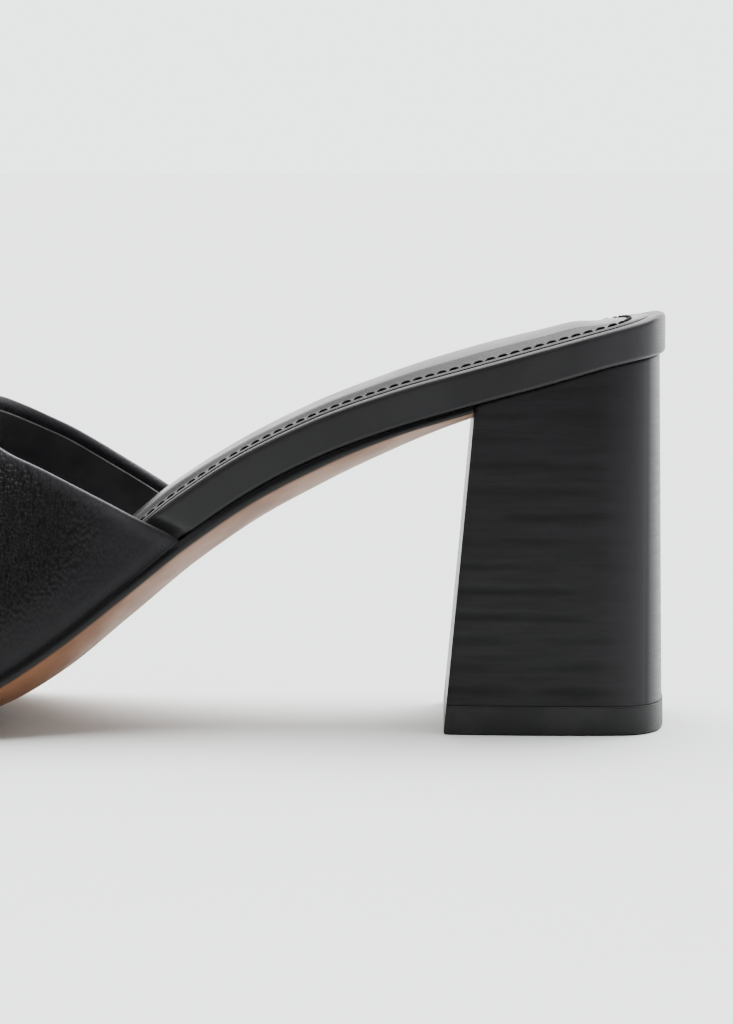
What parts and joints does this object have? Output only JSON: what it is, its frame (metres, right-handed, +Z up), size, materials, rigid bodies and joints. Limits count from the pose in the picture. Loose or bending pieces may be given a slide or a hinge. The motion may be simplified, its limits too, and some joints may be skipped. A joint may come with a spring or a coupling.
{
  "type": "block heel sandal",
  "caption": "Women's open-toe mule with one wide leather vamp, a padded leather sock, a wrapped footbed and a high stacked block heel with a rubber top lift; a backless slip-on sandal",
  "frame": {"origin": "middle of the heel's tread, where the top lift stands on the floor", "axes": "+X from the toe to the heel, +Y from the inner (big toe) side to the outer side, +Z up from the floor"},
  "size_m": [0.2264, 0.0817, 0.0864],
  "materials": {
    "outsole": "polished tan leather with a black dyed edge",
    "wrap": "smooth black leather, satin",
    "sock": "smooth black leather over thin padding, satin, stitched margin",
    "vamp": "fine-grained black leather",
    "heel": "black stacked leather, faint level layers",
    "lift": "matt black rubber"
  },
  "bodies": {
    "root": {"outsole": "outsole", "footbed": "wrap", "sock": "sock", "vamp": "vamp", "heel_block": "heel", "top_lift": "lift"}
  },
  "joints": []
}
